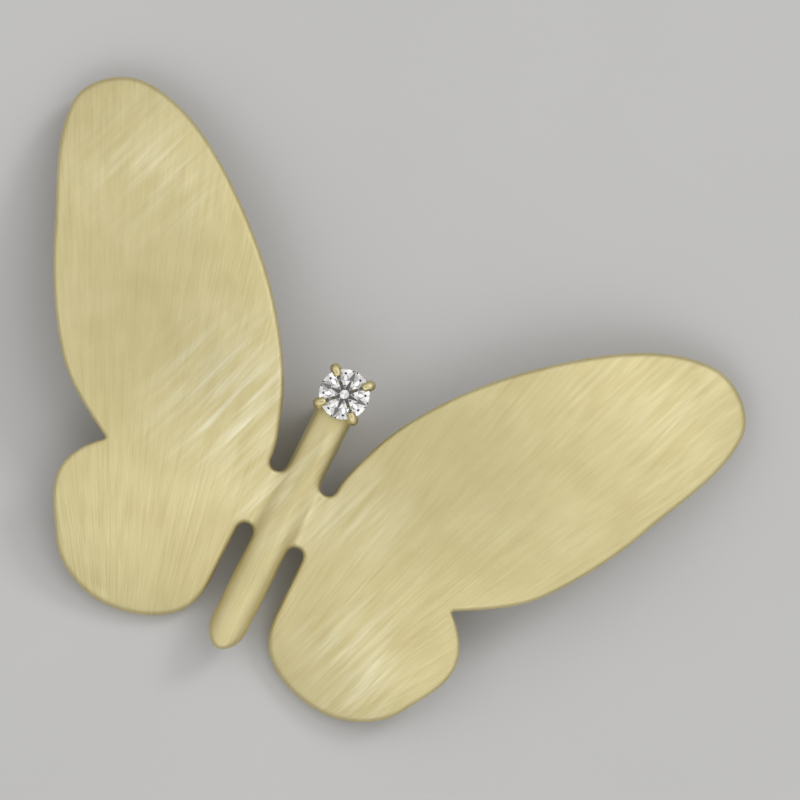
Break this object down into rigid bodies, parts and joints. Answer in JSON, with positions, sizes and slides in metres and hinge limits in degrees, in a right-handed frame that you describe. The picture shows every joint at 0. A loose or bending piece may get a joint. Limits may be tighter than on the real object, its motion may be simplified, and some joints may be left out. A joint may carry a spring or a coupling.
{
  "type": "butterfly brooch",
  "caption": "Butterfly brooch: pierced and domed sheet-metal wings with a crowned body, a claw-set round stone as its head, and a straight pin in a hinge and catch behind the body.",
  "frame": {"origin": "centre of the outline's box, on the surface that the brooch lies on", "axes": "+Z out of the brooch's front, +Y towards the head, +X across the wings to the viewer's right"},
  "size_m": [0.047, 0.0306, 0.0054],
  "materials": {
    "brushed_gold": "pale yellow gold with a fine matte brushed finish",
    "stone": "clear, colourless, cut as a round brilliant",
    "pin_gold": "pale yellow gold wire, satin"
  },
  "bodies": {
    "root": {"butterfly": "brushed_gold", "head_stone": "stone", "pin_stem": "pin_gold"}
  },
  "joints": []
}
